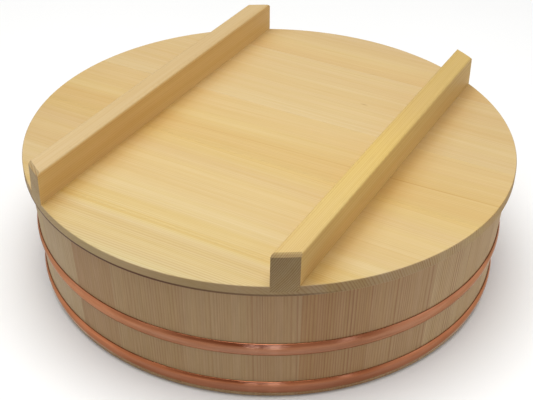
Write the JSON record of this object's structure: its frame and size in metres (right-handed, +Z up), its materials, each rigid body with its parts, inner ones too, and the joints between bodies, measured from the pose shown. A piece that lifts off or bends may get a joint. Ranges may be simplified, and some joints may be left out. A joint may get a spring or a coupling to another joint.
{
  "type": "sushi rice tub with lid",
  "caption": "Wide low coopered wooden tub with copper hoops and a flat round lid carrying two tall battens, for cooling and seasoning rice.",
  "frame": {"origin": "on the floor, under the middle of the tub", "axes": "+Z up through the middle of the tub; the lid's two battens run along Y, its boards along X"},
  "size_m": [0.49, 0.49, 0.1691],
  "materials": {
    "stave_wood": "bare, planed",
    "lid_wood": "bare, planed",
    "batten_wood": "bare, planed",
    "bottom_wood": "bare, planed",
    "copper": "satin copper, lightly toned",
    "bamboo": "bare, split"
  },
  "bodies": {
    "tub": {"stave_01": "stave_wood", "stave_02": "stave_wood", "stave_03": "stave_wood", "stave_04": "stave_wood", "stave_05": "stave_wood", "stave_06": "stave_wood", "stave_07": "stave_wood", "stave_08": "stave_wood", "stave_09": "stave_wood", "stave_10": "stave_wood", "stave_11": "stave_wood", "stave_12": "stave_wood", "stave_13": "stave_wood", "stave_14": "stave_wood", "stave_15": "stave_wood", "stave_16": "stave_wood", "stave_17": "stave_wood", "stave_18": "stave_wood", "stave_19": "stave_wood", "stave_20": "stave_wood", "stave_21": "stave_wood", "stave_22": "stave_wood", "stave_23": "stave_wood", "stave_24": "stave_wood", "stave_25": "stave_wood", "stave_26": "stave_wood", "stave_pegs": "bamboo", "hoop_upper": "copper", "hoop_lower": "copper", "bottom_board_1": "bottom_wood", "bottom_board_2": "bottom_wood", "bottom_board_3": "bottom_wood", "bottom_board_4": "bottom_wood", "bottom_board_5": "bottom_wood", "bottom_pegs": "bamboo"},
    "lid": {"lid_board_1": "lid_wood", "lid_board_2": "lid_wood", "lid_board_3": "lid_wood", "lid_board_4": "lid_wood", "lid_board_5": "lid_wood", "lid_pegs": "bamboo", "batten_left": "batten_wood", "batten_right": "batten_wood"}
  },
  "joints": [
    {"name": "lid_lift", "type": "slide", "parent": "tub", "child": "lid", "axis": [0, 0, 1], "range_m": [0, 0.16]}
  ]
}
